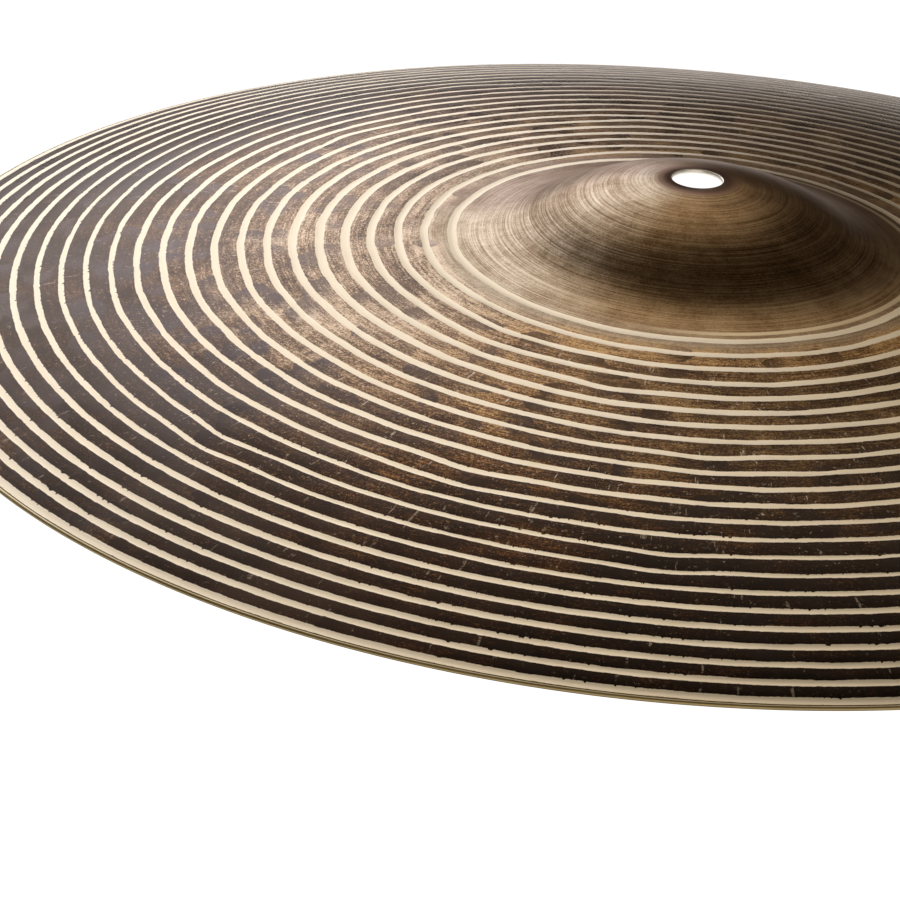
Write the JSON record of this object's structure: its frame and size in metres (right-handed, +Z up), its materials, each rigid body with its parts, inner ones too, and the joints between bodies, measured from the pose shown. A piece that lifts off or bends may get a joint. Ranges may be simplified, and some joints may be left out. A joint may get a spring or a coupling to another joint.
{
  "type": "crash cymbal",
  "caption": "Crash cymbal: a thin bronze disc with a domed bell, a gently curved bow, wide lathed grooves and a centre hole for a cymbal stand.",
  "frame": {"origin": "on the cymbal's axis, level with the lowest line of the rim, so the cymbal lies bow down on the ground", "axes": "+Z up along the axis of the stand hole, out of the top of the bell; the shape is round, so +X and +Y are free"},
  "size_m": [0.4064, 0.4064, 0.0418],
  "materials": {
    "bronze": "raw hammered dark bronze skin with bright lathed rings"
  },
  "bodies": {
    "root": {"cymbal": "bronze"}
  },
  "joints": []
}
